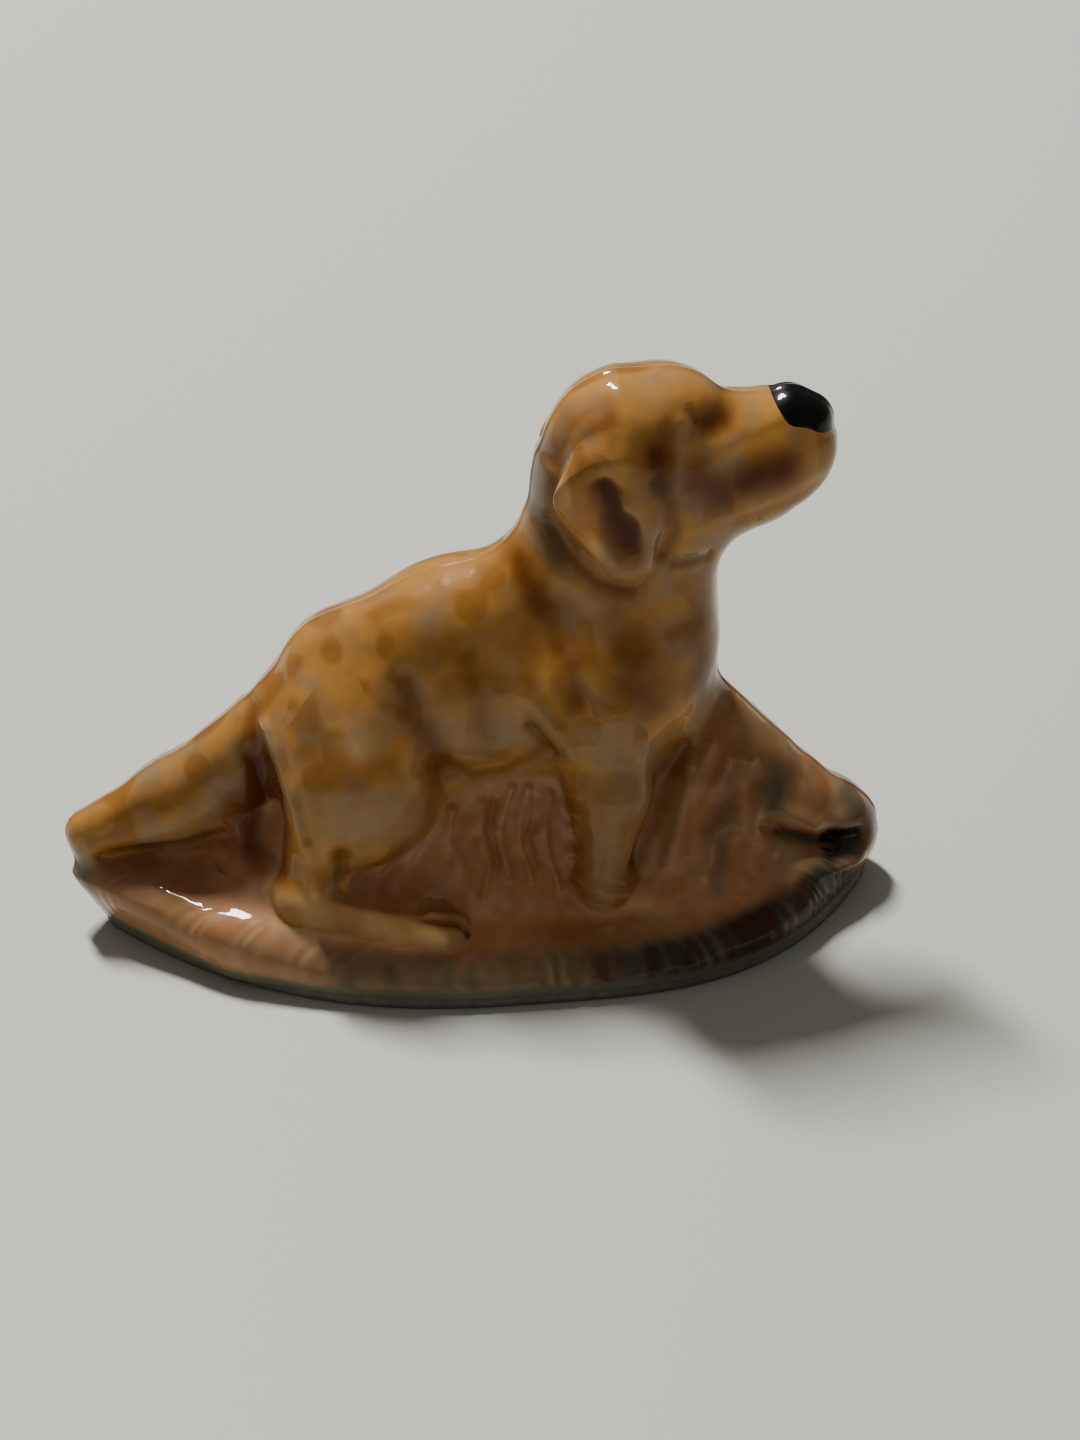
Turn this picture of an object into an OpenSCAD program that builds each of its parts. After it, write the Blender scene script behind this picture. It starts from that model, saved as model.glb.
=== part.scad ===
// Small glazed porcelain dog sitting on a pointed oval plinth, pressed in two dies.
// X runs to the nose, Y across the dog, Z up; the foot ring stands on Z = 0.

/* [Plinth] */
// Length of the left half of the plinth at its foot
plinth_left = 23; // [20:0.5:26]
// Length of the right half of the plinth at its foot
plinth_right = 20.6; // [18:0.5:23]
// Half the width of the plinth across the middle
plinth_half_w = 11.2; // [9.5:0.1:13]
// Height of the rim in front of the dog
rim_h = 2.3; // [1.8:0.1:3]
// Width of the dry foot ring
ring_w = 1.6; // [1:0.1:2.4]
// Depth of the hollow inside the foot ring
ring_h = 0.7; // [0.4:0.1:1]

/* [Dog] */
// Radius of the rib cage
chest_r = 5.85; // [5.2:0.05:6.3]
// Radius of the loin
loin_r = 5; // [4.4:0.1:5.6]
// Radius of the crest along the back
crest_r = 2.4; // [2:0.1:2.8]
// Radius of the neck below the skull
neck_r = 4.3; // [3.8:0.1:4.8]
// Radius of the skull
skull_r = 4.75; // [4.25:0.1:5.15]
// Radius of the muzzle end
muzzle_r = 2.75; // [2.4:0.05:3.1]
// Radius of the nose leather
nose_r = 1.4; // [1.2:0.05:1.7]
// Half width of the ear flap
ear_r = 2.35; // [2:0.05:2.7]
// Radius of the thigh
thigh_r = 4.1; // [3.6:0.1:4.6]
// Radius of the foreleg below the elbow
wrist_r = 1.8; // [1.5:0.1:2.1]
// Radius of the hind toes
toe_r = 0.72; // [0.64:0.02:0.9]
// Radius of the tail at its middle
tail_r = 2.3; // [1.9:0.1:2.6]
// Radius of the bank in front of the chest
bank_r = 3.5; // [3.1:0.1:4.1]

/* [Hidden] */
// place along X where the plinth is widest
waist_x = 2;
// how far a piece runs on under its neighbour, and how it dips there
lap = 0.6;
tuck = 0.35;
// how deep the pieces bite into the slab they stand on
bite = 0.4;
// halvings of the search along each ray
HALVINGS = 9;
RIGHT = -1;
LEFT = 1;
// outward lean of the plinth ends over their height
lean_left = 2.1;
lean_right = 0.8;
glaze_tone = "tan";

// one clay lump: owner, start, end, start radius, end radius, spread in Y, blend width
ground_lumps = [
  ["ground", [-9, 0, 4.2], [12.5, 0, 4.4], 5, 5, 1.1, 3],
  ["ground", [-4, 0, 8], [6, 0, 8.5], 3.4, 3.6, 1, 2.5]];
bank_lumps = [
  ["bank", [12.6, 0, 9.6], [17, 0, 5.9], bank_r, bank_r - 0.8, 1.1, 2.2],
  ["bank", [17.2, 0, 4.6], [20.3, 0, 3.8], bank_r - 1.4, bank_r - 1.3, 1.25, 2]];
torso_lumps = [
  ["torso", [-6.6, 0, 12.3], [-1, 0, 13.9], loin_r - 0.2, loin_r, 1, 2.5],
  ["torso", [-1, 0, 13.9], [7.8, 0, 14.8], loin_r, chest_r, 0.93, 2],
  ["torso", [-6.8, 0, 16.2], [-1, 0, 17.8], crest_r, crest_r, 1.15, 3],
  ["torso", [-1, 0, 17.8], [4.6, 0, 20.2], crest_r, crest_r - 0.2, 1.15, 3]];
tail_lumps = [
  ["tail", [-11, 0, 11.1], [-16.5, 0, 7.7], tail_r + 0.5, tail_r, 0.95, 2.5],
  ["tail", [-16.5, 0, 7.7], [-21.3, 0, 5.9], tail_r, tail_r - 0.8, 0.95, 1.2]];
neck_lumps = [
  ["neck", [6.6, 0, 18], [7.9, 0, 24.5], neck_r + 0.4, neck_r, 0.9, 2.5],
  ["neck", [9.2, 0, 17.5], [9.8, 0, 22.5], neck_r - 0.1, neck_r - 0.1, 0.9, 2]];
head_lumps = [
  ["head", [9, 0, 27.4], [10.4, 0, 27.6], skull_r, skull_r - 0.2, 0.95, 1.6],
  ["head", [11.5, 0, 25.5], [15.1, 0, 26.2], muzzle_r + 1.15, muzzle_r + 0.8, 0.82, 2],
  ["head", [14.8, 0, 26.7], [17.4, 0, 27], muzzle_r + 0.5, muzzle_r, 0.85, 1.5]];
nose_lumps = [
  ["nose", [17.7, 0, 29], [18.5, 0, 28.7], nose_r, nose_r - 0.05, 1.15, 0.3],
  ["nose", [18.6, 0, 28.5], [19.1, 0, 27.5], nose_r - 0.4, nose_r - 0.65, 1.2, 0.3]];

// the lumps of one side of the dog
function haunch_lumps(name, s) = [
  [name, [-6.3, 3.2 * s, 12], [-6.6, 4.3 * s, 10], thigh_r, thigh_r, 0.72, 2],
  [name, [-8.6, 4.8 * s, 8], [-9.7, 5.8 * s, 4.8], 1.8, 1.2, 1, 1.6]];
function hind_foot_lumps(name, s) = [
  [name, [-9.9, 6.6 * s, 4], [-4.6, 8.4 * s, 3.5], toe_r + 0.13, toe_r - 0.12, 1, 1.3],
  [name, [-4.6, 8.4 * s, 3.5], [-1.8, 8.5 * s, 3.2], toe_r - 0.12, toe_r, 1.45, 0.6]];
function foreleg_lumps(name, s) = [
  [name, [6.9, 3.4 * s, 13], [7.4, 4.8 * s, 9], wrist_r + 1.1, wrist_r, 0.9, 1.6],
  [name, [7.4, 4.8 * s, 9], [6.6, 6.6 * s, 4], wrist_r, wrist_r - 0.75, 1.2, 1]];
function ear_lumps(name, s) = [
  [name, [7.4, 2.9 * s, 28.7], [7.3, 3.8 * s, 26.7], 0.9, ear_r, 0.42, 1.8],
  [name, [7.3, 3.8 * s, 26.7], [8.4, 4.35 * s, 23.4], ear_r, 1.25, 0.42, 0.9]];

LUMPS = concat(
  ground_lumps, bank_lumps, torso_lumps, tail_lumps,
  haunch_lumps("right_haunch", RIGHT), haunch_lumps("left_haunch", LEFT),
  hind_foot_lumps("right_hind_foot", RIGHT), hind_foot_lumps("left_hind_foot", LEFT),
  neck_lumps,
  foreleg_lumps("right_foreleg", RIGHT), foreleg_lumps("left_foreleg", LEFT),
  head_lumps, nose_lumps,
  ear_lumps("right_ear", RIGHT), ear_lumps("left_ear", LEFT));

// distance from point p to lump m
function lump_dist(p, m) =
  let (a = m[1], b = m[2], f = m[5],
       q = [p.x - a.x, (p.y - a.y) / f, p.z - a.z],
       e = [b.x - a.x, (b.y - a.y) / f, b.z - a.z],
       t = min(1, max(0, q * e / (e * e))))
  norm(q - t * e) - m[3] - (m[4] - m[3]) * t;

// the smaller of two distances, rounded over the width k
function soft_min(a, b, k) =
  let (h = max(k - abs(a - b), 0) / k) min(a, b) - h * h * k / 4;
function soft_max(a, b, k) = -soft_min(-a, -b, k);

// distance to the plinth: pointed oval wall under a low crown
function plinth_dist(p) =
  let (left = p.x < waist_x,
       zc = max(0, min(p.z, 5)),
       l = left ? plinth_left + lean_left * min(1, zc / 3.4)
                : plinth_right + lean_right * min(1, zc / 3),
       w = plinth_half_w + 0.35 * min(1, zc / 2),
       n = left ? 2.5 : 3.4,
       t = abs(p.x - waist_x) / l,
       y = sqrt(p.y * p.y + 0.36) - 0.25,
       slope = sqrt(pow(n * pow(t, n - 1) / l, 2) + 1 / (w * w)),
       wall = (pow(t, n) + y / w - 1) / slope,
       crown = rim_h + (left ? 2.6 : 1.6) * pow(min(t, 1.1), 2.5)
               + 0.24 * max(0, min(-wall, 12)))
  soft_max(wall, 0.95 * (p.z - crown), 2.2);

// the clay surface with every lump worked into the next
function worked(p, i, d) =
  i == len(LUMPS) ? d
  : worked(p, i + 1, soft_min(d, lump_dist(p, LUMPS[i]), LUMPS[i][6]));

// how far a point lies on the wrong side of a piece's joins; the slab keeps what is
// deeper in it than the bite of the pieces that stand on it
function past_join(name, own, other, slab) =
  name == "plinth" ? slab - max(other, -bite)
                   : max(own - other, max(own, -bite) - slab);

// distance to one piece: the clay surface, tucked under its neighbour past the join
function dist(p, name) =
  let (own = min([for (m = LUMPS) m[0] == name ? lump_dist(p, m) : 99]),
       other = min([for (m = LUMPS) m[0] == name ? 99 : lump_dist(p, m)]),
       slab = plinth_dist(p),
       past = past_join(name, own, other, slab))
  max(worked(p, 0, slab) + tuck * max(0, past), past - lap, ring_h - p.z);

// length of the ray from c along d to the skin of a piece
function reach(c, d, name, near, far, n) =
  n == 0 ? (near + far) / 2
  : let (mid = (near + far) / 2)
    dist(c + mid * d, name) < 0 ? reach(c, d, name, mid, far, n - 1)
                                : reach(c, d, name, near, mid, n - 1);

// skin of a piece: rays around a spine from a to b, with a rounded fan at each end;
// around = rays in a ring, along = rings, far = longest ray, flat = squash of the fan in Z
module skin(name, a, b, around, along, far, up = [0, 0, 1], wide = 1, thin = 1) {
  axis = (b - a) / norm(b - a);
  side = cross(up, axis) / norm(cross(up, axis));
  over = cross(axis, side);
  run = norm(b - a) / (norm(b - a) + far);
  rings = [for (j = [1:along - 1])
    let (v = j / along,
         low = v < (1 - run) / 2,
         high = v > (1 + run) / 2,
         tilt = low ? -90 + 180 * v / (1 - run)
              : high ? 90 - 180 * (1 - v) / (1 - run) : 0,
         c = low ? a : high ? b : a + (b - a) * (v - (1 - run) / 2) / run)
    [for (i = [0:around - 1])
      let (u = 360 * i / around,
           ring = cos(u) * wide * side + sin(u) * thin * over,
           d0 = cos(tilt) * ring + sin(tilt) * axis,
           d = d0 / norm(d0))
      c + reach(c, d, name, 0, far, HALVINGS) * d]];
  tip_a = a - reach(a, -axis, name, 0, far, HALVINGS) * axis;
  tip_b = b + reach(b, axis, name, 0, far, HALVINGS) * axis;
  last = 1 + (along - 1) * around;
  pts = concat([tip_a], [for (r = rings) each r], [tip_b]);
  fan_a = [for (i = [0:around - 1]) [0, 1 + i, 1 + (i + 1) % around]];
  fan_b = [for (i = [0:around - 1])
    [last, last - around + (i + 1) % around, last - around + i]];
  wall = [for (j = [0:along - 3], i = [0:around - 1])
    let (p = 1 + j * around, i2 = (i + 1) % around)
    each [[p + i, p + around + i, p + around + i2], [p + i, p + around + i2, p + i2]]];
  polyhedron(points = pts, faces = concat(fan_a, wall, fan_b), convexity = 8);
}

// half width of the foot outline at a place s from the waist, 0 to 1
function foot_y(s, n) = plinth_half_w * (1 - pow(s, n));

module foot_outline() {
  steps = [for (i = [0:20]) sin(90 * i / 20)];
  right = [for (s = steps) [waist_x + plinth_right * s, foot_y(s, 3.4)]];
  left = [for (i = [20:-1:0]) [waist_x - plinth_left * steps[i], foot_y(steps[i], 2.5)]];
  top = concat([for (i = [0:19]) left[i]], right);
  under = [for (i = [len(top) - 2:-1:1]) [top[i].x, -top[i].y]];
  offset(r = 0.6) offset(delta = -0.6) polygon(concat(top, under));
}

module foot_ring() {
  color("linen")
    linear_extrude(height = ring_h)
      difference() {
        foot_outline($fn = 16);
        offset(delta = -ring_w) foot_outline($fn = 16);
      }
}

// slab skin: a flat underside, then rings of rays that lift from the wall to the crown
module plinth() {
  around = 44;
  rings = 13;
  c = [1, 0, ring_h];
  far = 26;
  skin_rings = [for (j = [0:rings - 1])
    let (tilt = 90 * pow(j / rings, 1.3))
    [for (i = [0:around - 1])
      let (u = 360 * i / around,
           d0 = [cos(u) * cos(tilt) * plinth_right,
                 sin(u) * cos(tilt) * plinth_half_w, sin(tilt) * 2 * rim_h],
           d = d0 / norm(d0))
      c + reach(c, d, "plinth", 0, far, HALVINGS + 2) * d]];
  crown = c + [0, 0, reach(c, [0, 0, 1], "plinth", 0, 8, HALVINGS)];
  last = 1 + rings * around;
  pts = concat([c], [for (r = skin_rings) each r], [crown]);
  under = [for (i = [0:around - 1]) [0, 1 + i, 1 + (i + 1) % around]];
  top = [for (i = [0:around - 1])
    [last, last - around + (i + 1) % around, last - around + i]];
  wall = [for (j = [0:rings - 2], i = [0:around - 1])
    let (p = 1 + j * around, i2 = (i + 1) % around)
    each [[p + i, p + around + i, p + around + i2], [p + i, p + around + i2, p + i2]]];
  color("rosybrown") polyhedron(points = pts, faces = concat(under, wall, top));
}

module ground() {
  color("peru") skin("ground", [-8, 0, 6.6], [11, 0, 6.6], 24, 26, 9);
}

module bank() {
  color(glaze_tone) skin("bank", [14.6, 0, 6.6], [18, 0, 5.2], 20, 20, 8);
}

module torso() {
  color(glaze_tone) skin("torso", [-5.5, 0, 13.6], [5.5, 0, 14.6], 34, 32, 11);
}

module neck() {
  color(glaze_tone) skin("neck", [7.4, 0, 20.6], [8.2, 0, 23], 28, 24, 9, up = [1, 0, 0]);
}

module head() {
  color(glaze_tone) skin("head", [9.6, 0, 27.6], [16, 0, 26.9], 30, 32, 8);
}

module nose() {
  color("black") skin("nose", [17.9, 0, 28.9], [18.5, 0, 28.5], 18, 14, 3);
}

module ear(name, s) {
  color("chocolate")
    skin(name, [7.1, 3.7 * s, 27.8], [7.9, 4.3 * s, 25], 20, 18, 6,
         up = [0, 1, 0], thin = 0.5);
}

module tail() {
  color(glaze_tone) skin("tail", [-13, 0, 9.4], [-19.5, 0, 6.6], 22, 26, 7);
}

module haunch(name, s) {
  color(glaze_tone)
    skin(name, [-6.4, 4.2 * s, 11.6], [-8.4, 5.2 * s, 7.4], 24, 24, 9, up = [0, 1, 0]);
}

module hind_foot(name, s) {
  color("wheat") skin(name, [-9.2, 7 * s, 4.1], [-2.8, 8.2 * s, 3.5], 16, 24, 4);
}

module foreleg(name, s) {
  color("wheat")
    skin(name, [6.9, 4.4 * s, 12.2], [6.8, 6 * s, 5.4], 20, 24, 6, up = [0, 1, 0]);
}

foot_ring();
plinth();
ground();
bank();
torso();
neck();
head();
nose();
ear("right_ear", RIGHT);  // right_ear
ear("left_ear", LEFT);  // left_ear
tail();
haunch("right_haunch", RIGHT);  // right_haunch
haunch("left_haunch", LEFT);  // left_haunch
hind_foot("right_hind_foot", RIGHT);  // right_hind_foot
hind_foot("left_hind_foot", LEFT);  // left_hind_foot
foreleg("right_foreleg", RIGHT);  // right_foreleg
foreleg("left_foreleg", LEFT);  // left_foreleg
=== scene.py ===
import math
import bpy
import numpy as np
from mathutils import Matrix, Vector


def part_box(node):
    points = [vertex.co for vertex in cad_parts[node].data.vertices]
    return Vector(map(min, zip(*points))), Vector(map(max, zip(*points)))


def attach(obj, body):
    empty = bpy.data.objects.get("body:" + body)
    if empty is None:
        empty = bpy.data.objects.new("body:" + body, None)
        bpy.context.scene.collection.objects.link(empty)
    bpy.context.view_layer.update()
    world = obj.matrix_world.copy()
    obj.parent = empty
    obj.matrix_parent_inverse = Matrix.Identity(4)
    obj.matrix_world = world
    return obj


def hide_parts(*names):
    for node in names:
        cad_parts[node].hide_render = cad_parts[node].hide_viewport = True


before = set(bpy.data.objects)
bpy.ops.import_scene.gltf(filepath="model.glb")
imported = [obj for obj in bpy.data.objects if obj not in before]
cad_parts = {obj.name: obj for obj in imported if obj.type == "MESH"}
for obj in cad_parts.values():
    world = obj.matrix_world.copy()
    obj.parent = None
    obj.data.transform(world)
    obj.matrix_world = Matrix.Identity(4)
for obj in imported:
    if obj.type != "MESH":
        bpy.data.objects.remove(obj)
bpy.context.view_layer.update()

# ---------------------------------------------------------------------------
# PLINTH. A pointed oval slab of porcelain with a leaning wall, a fluted edge
# and a low crown, pressed between two steel dies in one with the dog, and
# glazed all over except for the ring that it stands on.
# ---------------------------------------------------------------------------
SLAB_LENGTH = 45.85     # the modelled slab from point to end, millimetres
plinth_low, plinth_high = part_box("plinth")
MM = (plinth_high.x - plinth_low.x) / SLAB_LENGTH    # one modelled millimetre, in metres
WIDEST = 2.0            # where along the dog the slab is widest
GLAZE_LINE = 0.7        # height at which the glaze stops and the dry foot begins


def soft_min(a, b, k):
    """The smaller of two distances, rounded off where they differ by less than k."""
    h = np.maximum(k - np.abs(a - b), 0) / k
    return np.minimum(a, b) - h * h * k / 4


def smooth_step(low, high, v):
    """Zero below low, one above high, and 3t^2 - 2t^3 between them."""
    t = np.clip((v - low) / (high - low), 0, 1)
    return t * t * (3 - 2 * t)


def slab_wall(p):
    """Distance to the leaning wall of the plinth, |x/l|^n + y/w = 1 at every height, with
    a longer and sharper point at the tail end; also x/l and which end it is."""
    x, y, z = p.T
    tail_end = x < WIDEST
    zc = np.clip(z, 0, 5)
    length = np.where(tail_end, 23.0 + 2.1 * np.minimum(zc / 3.4, 1),
                      20.6 + 0.8 * np.minimum(zc / 3, 1))
    half = 11.2 + 0.35 * np.minimum(zc / 2, 1)
    n = np.where(tail_end, 2.5, 3.4)
    t = np.abs(x - WIDEST) / length
    power = t ** n
    slope = np.sqrt((n * power / np.maximum(t, 1e-3) / length) ** 2 + 1 / half ** 2)
    return (power + (np.sqrt(y * y + 0.36) - 0.25) / half - 1) / slope, t, tail_end


def slab_distance(p):
    """Distance to the plinth: its wall, and a low crown that climbs from the rim towards
    the middle and towards both ends."""
    wall, t, tail_end = slab_wall(p)
    crown = (2.3 + np.where(tail_end, 2.6, 1.6) * np.minimum(t, 1.1) ** 2.5
             + 0.24 * np.clip(-wall, 0, 12))
    return -soft_min(-wall, -0.95 * (p[:, 2] - crown), 2.2)


def mottle(p, size, seed):
    """Smooth noise from 0 to 1: hashed values on a lattice of the given cell size,
    blended with smooth weights along each axis."""
    q = p.astype(np.float64) / size + seed
    i = np.floor(q)
    f = q - i
    f = f * f * (3 - 2 * f)
    total = np.zeros(len(p))
    for cx in (0, 1):
        for cy in (0, 1):
            for cz in (0, 1):
                h = np.sin((i[:, 0] + cx) * 127.1 + (i[:, 1] + cy) * 311.7
                           + (i[:, 2] + cz) * 74.7 + seed) * 43758.5453
                w = (np.where(cx, f[:, 0], 1 - f[:, 0]) * np.where(cy, f[:, 1], 1 - f[:, 1])
                     * np.where(cz, f[:, 2], 1 - f[:, 2]))
                total += w * (h - np.floor(h))
    return total


def flutes(p):
    """Wave of the uneven flutes round the rim: a sine of the place along the outline,
    pushed about and made stronger and weaker by noise."""
    u = np.arctan2(np.abs(p[:, 1]) / 11.3, (p[:, 0] - WIDEST) / 21.8)
    flat = np.stack([u * 21.8, 0 * u, 0 * u], 1)
    run = flat[:, 0] + 1.5 * mottle(flat, 2.1, 5.0) + 0.5 * mottle(p, 1.0, 15.0)
    return np.sin(run * 5.0) * (0.1 + 2.4 * mottle(flat, 2.7, 6.0) * mottle(p, 1.6, 7.0))


def rim_marks(q, forms):
    """Height of the flutes, strongest on the edge and clear of the other forms, and of
    the soft roll of clay on the rim under the tail."""
    others = np.min([d for n, d in forms.items() if n != "plinth"], axis=0)
    edge = smooth_step(-8.0, -5.0, q[:, 0]) * 0.8 + 0.2
    edge *= smooth_step(-2.2, -0.9, slab_wall(q)[0]) * smooth_step(0.8, 1.4, q[:, 2])
    depth = 0.05 - 0.03 * smooth_step(6, 14, q[:, 0])
    roll = np.exp(-((q[:, 0] + 12.8) / 3.2) ** 2 - ((np.abs(q[:, 1]) - 7.1) / 1.4) ** 2)
    return (depth * flutes(q) * edge * smooth_step(0.5, 1.3, others)
            + 0.42 * roll * smooth_step(0.6, 0.0, forms["plinth"]))


CREAM = np.array([0.315, 0.205, 0.105])     # the clay under a thin wash
HONEY = np.array([0.50, 0.235, 0.055])
BROWN = np.array([0.095, 0.019, 0.0005])
MOSS = np.array([0.15, 0.145, 0.095])       # grey-green


def laid(colour, stain, amount):
    """Stain laid over a colour: the colour moved towards the stain by the amount."""
    return colour + (stain - colour) * amount[:, None]


def rim_wash(soil, q, forms, cloud):
    """Painted light along both sides just inside the rim; honey inside the rim, cream under the
    tail, grey-green with brown blots along the fluted edge, and grey-green again where the
    glaze runs down to the foot."""
    wall = slab_wall(q)[0]
    # painted light: the soil made up to 1.6 times lighter along both sides of the slab, just
    # inside the rim
    crown = smooth_step(5.5, 8.0, np.abs(q[:, 1])) * smooth_step(-1.2, -2.8, wall)
    soil = soil * (1 + 0.6 * crown)[:, None]
    on_slab = smooth_step(0.5, -0.1, forms["plinth"])
    rim = smooth_step(-2.1, -0.8, wall) * on_slab
    warm = smooth_step(-4.2, -3.0, wall) * on_slab
    warm *= smooth_step(1.0, 4.0, q[:, 0]) * smooth_step(14.0, 9.0, q[:, 0])
    soil = laid(soil, HONEY * 0.6, warm * (1 - rim) * 0.6)
    tail_end = smooth_step(-7.0, -11.0, q[:, 0])
    bank_end = smooth_step(2, 12, q[:, 0])
    pale = tail_end * smooth_step(-4.6, -3.2, wall) * smooth_step(0.3, 0.0, forms["plinth"])
    soil = laid(soil, CREAM * (1.4, 1.1, 0.95), pale * 0.85 * (0.4 + 0.8 * cloud))
    trough = 0.5 - 0.5 * np.clip(flutes(q), -1, 1)
    veil = mottle(q * (1.0, 0.5, 0.3), 1.3, 61.0)
    drab = rim * (1 - tail_end) * (0.45 + 0.25 * trough + 0.5 * veil)
    drab += rim * tail_end * (0.2 * trough + 0.3 * veil)
    drab *= 0.75 + 0.75 * bank_end
    soil = laid(soil, MOSS * (0.85 - 0.5 * bank_end)[:, None], np.clip(drab, 0, 1))
    blot = rim * smooth_step(0.5, 0.8, mottle(q * (1.0, 0.4, 0.3), 1.1, 51.0))
    blot *= (0.5 + 0.3 * smooth_step(4, 12, q[:, 0])) * (1 - 0.7 * tail_end)
    soil = laid(soil, BROWN * 0.8, blot)
    wet = smooth_step(1.4, 0.9, q[:, 2]) + smooth_step(-21.4, -22.6, q[:, 0]) * 0.5
    return laid(soil, MOSS, np.clip(wet, 0, 1))


def glaze(name, seed, grain=1.0, worn=False):
    """One coat of clear glaze over the stains: the washed colour varied by a fine speck,
    a cloudy roughness and a faint orange peel under a glassy coat. Where the glaze is
    worn, the coat follows the fourth channel of the wash."""
    material = bpy.data.materials.new(name)
    material.use_nodes = True
    nodes, links = material.node_tree.nodes, material.node_tree.links
    shader = nodes["Principled BSDF"]
    place = nodes.new("ShaderNodeTexCoord")
    wash = nodes.new("ShaderNodeAttribute")
    wash.attribute_name = "wash"
    speck = nodes.new("ShaderNodeTexNoise")
    speck.inputs["Scale"].default_value = 1300 * grain
    speck.inputs["Detail"].default_value = 4
    links.new(place.outputs["Object"], speck.inputs["Vector"])
    tone = nodes.new("ShaderNodeMapRange")
    tone.inputs["From Min"].default_value = 0.3
    tone.inputs["From Max"].default_value = 0.7
    tone.inputs["To Min"].default_value = 0.94
    tone.inputs["To Max"].default_value = 1.06
    links.new(speck.outputs["Fac"], tone.inputs["Value"])
    tint = nodes.new("ShaderNodeVectorMath")
    tint.operation = "SCALE"
    links.new(wash.outputs["Color"], tint.inputs[0])
    links.new(tone.outputs["Result"], tint.inputs["Scale"])
    links.new(tint.outputs["Vector"], shader.inputs["Base Color"])
    cloud = nodes.new("ShaderNodeTexNoise")
    cloud.noise_dimensions = "4D"
    cloud.inputs["W"].default_value = seed
    cloud.inputs["Scale"].default_value = 700
    links.new(place.outputs["Object"], cloud.inputs["Vector"])
    rough = nodes.new("ShaderNodeMapRange")
    rough.inputs["To Min"].default_value = 0.3
    rough.inputs["To Max"].default_value = 0.5
    links.new(cloud.outputs["Fac"], rough.inputs["Value"])
    links.new(rough.outputs["Result"], shader.inputs["Roughness"])
    peel = nodes.new("ShaderNodeBump")
    peel.inputs["Strength"].default_value = 0.35
    peel.inputs["Distance"].default_value = 0.00003
    links.new(cloud.outputs["Fac"], peel.inputs["Height"])
    links.new(peel.outputs["Normal"], shader.inputs["Normal"])
    shader.inputs["Specular IOR Level"].default_value = 0.03
    shader.inputs["Coat Weight"].default_value = 1.0
    if worn:
        links.new(wash.outputs["Alpha"], shader.inputs["Coat Weight"])
    shader.inputs["Coat IOR"].default_value = 1.26
    shader.inputs["Coat Roughness"].default_value = 0.03
    return material


earth_glaze = glaze("ground glaze", 2.0, grain=1.3)
# each form waits here, with its centre line, rays, glaze and slot, until all are modelled
waiting = [dict(form="plinth", nodes=["plinth"], glaze=earth_glaze, slot="plinth_glaze",
                around=900, along=100)]

# ---------------------------------------------------------------------------
# FOOT RING. The bare, ground-flat rim under the plinth: cream biscuit that has
# picked up a little grey from the shelf, rubbed flat after the glaze firing.
# ---------------------------------------------------------------------------
# inset from the outline and height of each corner of the ring, millimetres
RING_PROFILE = [(0, GLAZE_LINE), (0, 0.35), (0.06, 0.08), (0.2, 0.0), (0.8, 0.0), (1.35, 0.0),
                (1.5, 0.08), (1.6, 0.35), (1.6, GLAZE_LINE)]
FINE = 1.0


def count(n):
    """Rings or rays for this run, fewer in a quick one."""
    return max(8, int(n * FINE))


def turn_foot(around):
    """Profile carried along the outline |x/l|^n + y/w = 1: each ray from the middle is
    halved until it ends on the outline, then shortened by the inset of each corner."""
    u = np.linspace(0, 2 * np.pi, around, endpoint=False)
    c, s = np.cos(u), np.sin(u)
    length, n = np.where(c > 0, 20.75, 23.3), np.where(c > 0, 3.4, 2.5)
    near, far = np.zeros(around), np.full(around, 30.0)
    for _ in range(30):
        r = (near + far) / 2
        across = (np.sqrt((r * s) ** 2 + 0.36) - 0.25) / 11.25
        out = (np.abs(r * c) / length) ** n + across > 1
        far = np.where(out, r, far)
        near = np.where(out, near, r)
    return np.array([np.stack([WIDEST + (near - inset) * c, (near - inset) * s,
                               np.full(around, z)], 1) for inset, z in RING_PROFILE])


def add_ring(name, rows, material):
    """Mesh of a closed profile carried round a closed path."""
    corners, around, _ = rows.shape
    i = np.arange(around)
    j = (i + 1) % around
    quads = np.vstack([np.stack([r * around + i, (r + 1) % corners * around + i,
                                 (r + 1) % corners * around + j, r * around + j], 1)
                       for r in range(corners)])
    mesh = bpy.data.meshes.new(name)
    mesh.from_pydata((rows.reshape(-1, 3) * MM).tolist(), [], quads.tolist())
    mesh.shade_smooth()
    mesh.materials.append(material)
    piece = bpy.data.objects.new("dry_" + name, mesh)
    bpy.context.scene.collection.objects.link(piece)
    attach(piece, "root")
    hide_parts(name)


biscuit = bpy.data.materials.new("dry biscuit")
biscuit.use_nodes = True
biscuit_nodes, biscuit_links = biscuit.node_tree.nodes, biscuit.node_tree.links
biscuit_place = biscuit_nodes.new("ShaderNodeTexCoord")
biscuit_noise = biscuit_nodes.new("ShaderNodeTexNoise")
biscuit_noise.inputs["Scale"].default_value = 1500
biscuit_links.new(biscuit_place.outputs["Object"], biscuit_noise.inputs["Vector"])
biscuit_ramp = biscuit_nodes.new("ShaderNodeValToRGB")
biscuit_ramp.color_ramp.elements[0].color = (0.10, 0.095, 0.075, 1)
biscuit_ramp.color_ramp.elements[1].color = (0.20, 0.185, 0.15, 1)
biscuit_links.new(biscuit_noise.outputs["Fac"], biscuit_ramp.inputs["Fac"])
biscuit_links.new(biscuit_ramp.outputs["Color"],
                  biscuit_nodes["Principled BSDF"].inputs["Base Color"])
biscuit_nodes["Principled BSDF"].inputs["Roughness"].default_value = 0.75
add_ring("foot_ring", turn_foot(count(480)), biscuit)

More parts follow.
